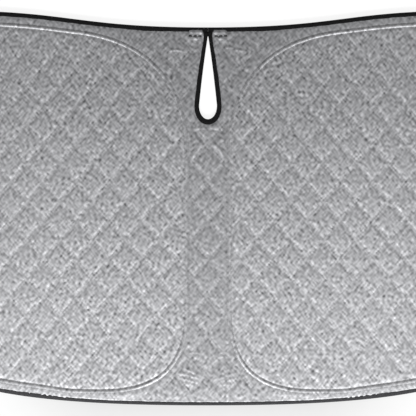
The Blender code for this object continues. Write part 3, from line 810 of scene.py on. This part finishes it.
class Nodes:
    """Short way to write the nodes of a material."""

    def __init__(self, name):
        self.material = bpy.data.materials.new(name)
        self.material.use_nodes = True
        self.tree = self.material.node_tree
        self.shader = self.tree.nodes["Principled BSDF"]
        self.place = self.new("ShaderNodeTexCoord").outputs["Object"]

    def new(self, kind, **settings):
        node = self.tree.nodes.new(kind)
        for key, value in settings.items():
            setattr(node, key, value)
        return node

    def link(self, source, target):
        if isinstance(source, (int, float)):
            target.default_value = source
        else:
            self.tree.links.new(source, target)

    def math(self, operation, a, b=0.0):
        node = self.new("ShaderNodeMath", operation=operation)
        self.link(a, node.inputs[0])
        self.link(b, node.inputs[1])
        return node.outputs[0]

    def noise(self, scale, detail, rough, stretch=None, shift=None):
        node = self.new("ShaderNodeTexNoise")
        node.inputs["Scale"].default_value = scale
        node.inputs["Detail"].default_value = detail
        node.inputs["Roughness"].default_value = rough
        self.link(self.mapped(stretch, shift), node.inputs["Vector"])
        return node.outputs["Fac"]

    def streaks(self, pitch, turns, lean, angle):
        """Short streaks of one width across the given angle; lean is how strictly they keep to it."""
        node = self.new("ShaderNodeTexGabor", gabor_type="2D")
        node.inputs["Scale"].default_value = 1.0 / (pitch * turns)
        node.inputs["Frequency"].default_value = turns
        node.inputs["Anisotropy"].default_value = lean
        node.inputs["Orientation"].default_value = angle
        self.link(self.place, node.inputs["Vector"])
        return node.outputs["Value"]

    def attribute(self, name):
        return self.new("ShaderNodeAttribute", attribute_name=name).outputs["Fac"]

    def span(self, value, low, high, at_low, at_high, kind="SMOOTHSTEP"):
        """Value carried from one range to another, smoothly unless a kind is given."""
        node = self.new("ShaderNodeMapRange", interpolation_type=kind)
        self.link(value, node.inputs["Value"])
        sockets = ("From Min", "From Max", "To Min", "To Max")
        for socket, number in zip(sockets, (low, high, at_low, at_high)):
            node.inputs[socket].default_value = number
        return node.outputs["Result"]

    def range(self, value, low, high):
        """Middle half of a noise carried evenly to a range."""
        return self.span(value, 0.25, 0.75, low, high, "LINEAR")

    def voronoi(self, scale):
        node = self.new("ShaderNodeTexVoronoi")
        node.inputs["Scale"].default_value = scale
        self.link(self.place, node.inputs["Vector"])
        return node.outputs["Distance"]

    def mapped(self, stretch=None, shift=None, turn=0.0):
        if stretch is None and shift is None and not turn:
            return self.place
        node = self.new("ShaderNodeMapping")
        self.link(self.place, node.inputs["Vector"])
        if stretch is not None:
            node.inputs["Scale"].default_value = stretch
        if shift is not None:
            node.inputs["Location"].default_value = shift
        node.inputs["Rotation"].default_value = (0.0, 0.0, turn)
        return node.outputs["Vector"]

    def wave(self, pitch, turn):
        """Even ribs of one pitch, turned by an angle."""
        node = self.new("ShaderNodeTexWave", wave_type="BANDS", bands_direction="X", wave_profile="SIN")
        node.inputs["Scale"].default_value = 2 * math.pi / (20 * pitch)
        self.link(self.mapped(turn=turn), node.inputs["Vector"])
        return node.outputs["Fac"]

    def ramp(self, value, stops):
        """Colour between two stops, each a place and a colour."""
        node = self.new("ShaderNodeValToRGB")
        for element, (place, color) in zip(node.color_ramp.elements, stops):
            element.position = place
            element.color = (*color, 1.0)
        self.link(value, node.inputs["Fac"])
        return node.outputs["Color"]

    def bump(self, height, strength, distance, before=None):
        node = self.new("ShaderNodeBump")
        node.inputs["Strength"].default_value = strength
        node.inputs["Distance"].default_value = distance
        self.link(height, node.inputs["Height"])
        if before is not None:
            self.link(before, node.inputs["Normal"])
        return node.outputs["Normal"]

    def set(self, name, value):
        self.link(value, self.shader.inputs[name])

    def axes(self):
        """Place across, place up and height, in metres."""
        node = self.new("ShaderNodeSeparateXYZ")
        self.link(self.place, node.inputs[0])
        return node.outputs


def weld_marks(n):
    """Small crossed marks that the welding wheel leaves along the quilting lines."""
    x, y, _ = n.axes()
    up = n.math("DIVIDE", n.math("SUBTRACT", y, QUILT_START), QUILT_HEIGHT)
    out = n.math("DIVIDE", x, QUILT_WIDTH)
    lines = (n.math("ADD", up, out), n.math("SUBTRACT", up, out))
    near = n.math("MINIMUM", *(n.math("PINGPONG", line, 0.5) for line in lines))
    band = n.span(n.math("MULTIPLY", near, QUILT_PITCH), 0.0026, 0.0052, 1.0, 0.0)
    turns = 2 * math.pi * 8.4
    crossed = n.math("ADD", *(n.math("SINE", n.math("MULTIPLY", line, turns)) for line in lines))
    wear_and_highlight = n.span(n.noise(31.0, 2.0, 0.5, shift=(7.0, 2.0, 0.0)), 0.38, 0.60, 0.15, 1.0)
    marks = n.math("MULTIPLY", n.math("MULTIPLY", band, crossed), wear_and_highlight)
    return n.math("MULTIPLY", marks, n.attribute("quilted"))


def silver_material():
    """Aluminised woven cloth: grainy, softly shining, a little crumpled."""
    n = Nodes("silver_quilted_laminate")
    grain = n.noise(430.0, 2.0, 0.6)
    lean = math.radians(41)
    coarse = [n.streaks(0.0128, 1.3, 0.55, turn) for turn in (lean, -lean)]
    fine = [n.streaks(0.0072, 2.0, 0.90, turn) for turn in (lean, -lean)]
    coarse, fine = (n.math("ADD", *pair) for pair in (coarse, fine))
    blot = n.noise(88.0, 1.0, 0.5, shift=(3.0, 1.0, 0.0))
    marks = weld_marks(n)
    streaked = n.math("ADD", n.math("MULTIPLY", coarse, 0.72), n.math("MULTIPLY", fine, 0.36))
    calm = n.span(n.attribute("strip"), 0.0, 1.0, 1.0, 0.72)
    tone = n.math("MULTIPLY", n.math("SUBTRACT", streaked, 1.08), calm)
    for part, share in ((grain, 0.08), (blot, 0.20), (marks, 0.05)):
        tone = n.math("ADD", tone, n.math("MULTIPLY", part, share))
    tone = n.math("ADD", tone, 0.345)
    # Painted shade: the plain cloth outside the hoop seams, in the middle strip and along the edges, is
    # darkened because it catches less light than the puffs.
    tone = n.math("SUBTRACT", tone, n.math("MULTIPLY", n.attribute("strip"), 0.075))
    x, y, _ = n.axes()
    # Painted light and shade: the face is made lighter towards the sides and darker towards the top and
    # the lower edge, following how the lamp falls on it.
    tone = n.math("ADD", tone, n.span(n.math("ABSOLUTE", x), 0.10, 0.42, 0.0, 0.06))
    tone = n.math("SUBTRACT", tone, n.span(y, 0.09, 0.25, 0.0, 0.060))
    tone = n.math("SUBTRACT", tone, n.span(y, -0.36, -0.20, 0.045, 0.0))
    color = n.ramp(tone, [(0.05, (0.150, 0.152, 0.159)), (0.95, (0.742, 0.745, 0.768))])
    n.set("Base Color", color)
    n.set("Metallic", 0.45)
    n.set("Roughness", n.range(grain, 0.56, 0.42))
    weave = n.math("MULTIPLY", n.wave(0.0011, 0.0), n.wave(0.0011, math.pi / 2))
    relief = n.math("ADD", coarse, n.math("MULTIPLY", fine, 0.5))
    relief = n.math("ADD", relief, n.math("MULTIPLY", marks, 0.12))
    normal = n.bump(weave, 0.20, 0.0002)
    normal = n.bump(relief, 1.0, 0.00045, normal)
    n.set("Normal", normal)
    return n.material


def lining_material():
    """Plain woven lining on the back."""
    n = Nodes("lining_cloth")
    grain = n.noise(520.0, 2.0, 0.6)
    patch = n.noise(22.0, 3.0, 0.5)
    tone = n.math("ADD", n.math("MULTIPLY", grain, 0.5), n.math("MULTIPLY", patch, 0.5))
    n.set("Base Color", n.ramp(tone, [(0.3, (0.135, 0.137, 0.145)), (0.7, (0.215, 0.217, 0.228))]))
    n.set("Roughness", n.range(grain, 0.78, 0.62))
    weave = n.math("MULTIPLY", n.wave(0.0009, 0.0), n.wave(0.0009, math.pi / 2))
    normal = n.bump(weave, 0.5, 0.0002)
    n.set("Normal", n.bump(n.noise(60.0, 3.0, 0.6), 0.3, 0.0010, normal))
    return n.material


def tape_material(name, low, high, wear_and_highlight=0.0):
    """Black woven tape with a diagonal rib, greyer along the lower edge as a painted highlight where
    its fold catches the light.
    """
    n = Nodes(name)
    grain = n.noise(600.0, 2.0, 0.6)
    # Painted highlight: the tape's colour is made greyer towards the lower edge, where its fold faces
    # the lamp.
    painted_highlight = n.math("MULTIPLY", n.span(n.axes()[1], -0.36, -0.22, wear_and_highlight, 0.0), grain)
    tone = n.math("ADD", n.range(grain, low, high), painted_highlight)
    grey = n.new("ShaderNodeCombineColor")
    for k, tint in enumerate((1.0, 1.0, 1.06)):
        n.link(n.math("MULTIPLY", tone, tint), grey.inputs[k])
    n.set("Base Color", grey.outputs[0])
    n.set("Roughness", n.range(grain, 0.88, 0.70))
    n.set("Specular IOR Level", 0.12)
    n.set("Sheen Weight", 0.015)
    n.set("Sheen Roughness", 0.5)
    rib = n.math("MULTIPLY", n.wave(0.0008, math.pi / 4), n.wave(0.0008, -math.pi / 4))
    normal = n.bump(rib, 0.6, 0.00025)
    n.set("Normal", n.bump(n.noise(140.0, 3.0, 0.6), 0.3, 0.0006, normal))
    return n.material


def thread_material(name, tone):
    """Twisted thread."""
    n = Nodes(name)
    grain = n.noise(900.0, 2.0, 0.6)
    dark, light = tone * 0.75, tone * 1.2
    n.set("Base Color", n.ramp(grain, [(0.3, (dark, dark, dark)), (0.7, (light, light, light * 1.02))]))
    n.set("Roughness", n.range(grain, 0.75, 0.55))
    n.set("Normal", n.bump(n.wave(0.0004, math.pi / 4), 0.5, 0.0001))
    return n.material


def metal_material(name, tone, rough, scale):
    """Bare or plated steel with fine marks."""
    n = Nodes(name)
    grain = n.noise(scale, 3.0, 0.6, stretch=(1.0, 0.15, 1.0))
    n.set("Base Color", n.ramp(grain, [
        (0.3, (tone * 0.8, tone * 0.8, tone * 0.82)), (0.7, (tone * 1.1, tone * 1.1, tone * 1.08)),
    ]))
    n.set("Metallic", 1.0)
    n.set("Roughness", n.range(grain, rough + 0.1, rough - 0.05))
    n.set("Normal", n.bump(grain, 0.25, 0.0001))
    return n.material


def hook_material():
    """Hook and loop tape: a mat of tiny hooks."""
    n = Nodes("hook_and_loop_tape")
    mat = n.voronoi(900.0)
    grain = n.noise(300.0, 3.0, 0.6)
    n.set("Base Color", n.ramp(grain, [(0.3, (0.020, 0.020, 0.021)), (0.75, (0.050, 0.050, 0.053))]))
    n.set("Roughness", n.range(grain, 0.95, 0.75))
    n.set("Normal", n.bump(mat, 0.8, 0.0006))
    return n.material


def floor_material():
    """Pale floor that shows white to the camera, with a painted soft shadow in front of the lower edge
    and painted light that brightens its glow towards the top.
    """
    n = Nodes("pale_floor")
    n.set("Roughness", 0.9)
    x, y, _ = n.axes()
    # Painted shadow: a soft grey patch on the floor in front of the shade's lower edge.
    middle = n.span(n.math("ABSOLUTE", x), 0.20, 0.56, 1.0, 0.0)
    front = n.span(y, -HALF_HEIGHT - 0.16, -HALF_HEIGHT + 0.02, 0.0, 1.0)
    below = n.span(y, -HALF_HEIGHT + 0.02, -HALF_HEIGHT + 0.06, 1.0, 0.0)
    patch = n.math("MULTIPLY", n.math("MULTIPLY", middle, front), below)
    dust = n.noise(35.0, 3.0, 0.6)
    n.set("Base Color", n.ramp(dust, [(0.3, (0.245, 0.245, 0.245)), (0.7, (0.255, 0.255, 0.255))]))
    path = n.new("ShaderNodeLightPath")
    seen = n.math("MAXIMUM", path.outputs["Is Camera Ray"], path.outputs["Is Glossy Ray"])
    seen = n.math("MAXIMUM", seen, path.outputs["Is Transmission Ray"])
    n.shader.inputs["Emission Color"].default_value = (1.0, 1.0, 1.0, 1.0)
    # Painted light: the glow the camera sees rises towards the top, and the painted shadow patch is
    # taken from it.
    light = n.math("SUBTRACT", n.span(y, -0.45, 0.10, 0.67, 0.84), n.math("MULTIPLY", patch, 0.24))
    n.set("Emission Strength", n.math("MULTIPLY", seen, light))
    return n.material


# Build.


def build_studio():
    """Floor, world, one soft lamp, and the camera straight above the shade."""
    corners = [(-1, -1), (1, -1), (1, 1), (-1, 1)]
    corners = [(FLOOR_HALF * x, FLOOR_HALF * y, 0) for x, y in corners]
    floor = add_mesh("pale_floor", corners, [(0, 1, 2, 3)], [floor_material()], False)
    floor.location.z = -FLOOR_DROP

    world = bpy.data.worlds.new("studio")
    bpy.context.scene.world = world
    world.use_nodes = True
    background = world.node_tree.nodes["Background"]
    background.inputs["Color"].default_value = (1.0, 1.0, 1.0, 1.0)
    background.inputs["Strength"].default_value = WORLD_STRENGTH

    data = bpy.data.lights.new("key", "AREA")
    data.shape = "RECTANGLE"
    data.size, data.size_y = 2.6, 0.7
    data.energy = LAMP_POWER
    lamp = bpy.data.objects.new("key", data)
    lamp.location = (0.0, -1.75, 1.10)
    aim = Vector((0.0, -0.10, 0.0)) - Vector((0.0, -1.75, 1.10))
    lamp.rotation_euler = aim.to_track_quat("-Z", "Y").to_euler()
    bpy.context.scene.collection.objects.link(lamp)

    data = bpy.data.cameras.new("camera")
    data.sensor_width = SENSOR_WIDTH
    data.lens = SENSOR_WIDTH * CAMERA_DISTANCE / FRAME_WIDTH
    data.clip_start, data.clip_end = 0.05, 60.0
    camera = bpy.data.objects.new("camera", data)
    camera.location = (0.0, 0.0, CAMERA_DISTANCE + PANEL_FLAT)
    bpy.context.scene.collection.objects.link(camera)
    bpy.context.scene.camera = camera
    bpy.context.scene.view_settings.view_transform = "Standard"


def main():
    silver = silver_material()
    lining = lining_material()
    black = tape_material("black_binding_tape", 0.0035, 0.0090, 0.08)
    channel = tape_material("black_channel_tape", 0.012, 0.026)
    grey_thread = thread_material("grey_thread", 0.16)
    black_thread = thread_material("black_thread", 0.012)
    build_panel(silver, lining)
    lines = build_tapes(black)
    build_sleeves(channel)
    build_stitches(lines, grey_thread, black_thread)
    steel = metal_material("spring_steel_wire", 0.5, 0.38, 500.0)
    zinc = metal_material("zinc_plated_ferrule", 0.6, 0.42, 900.0)
    for node, material in (
        ("left_wire_hoop", steel), ("right_wire_hoop", steel),
        ("left_hoop_ferrule", zinc), ("right_hoop_ferrule", zinc),
    ):
        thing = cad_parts[node]
        thing.data.materials.clear()
        thing.data.materials.append(material)
    build_closure(hook_material())
    build_studio()


main()
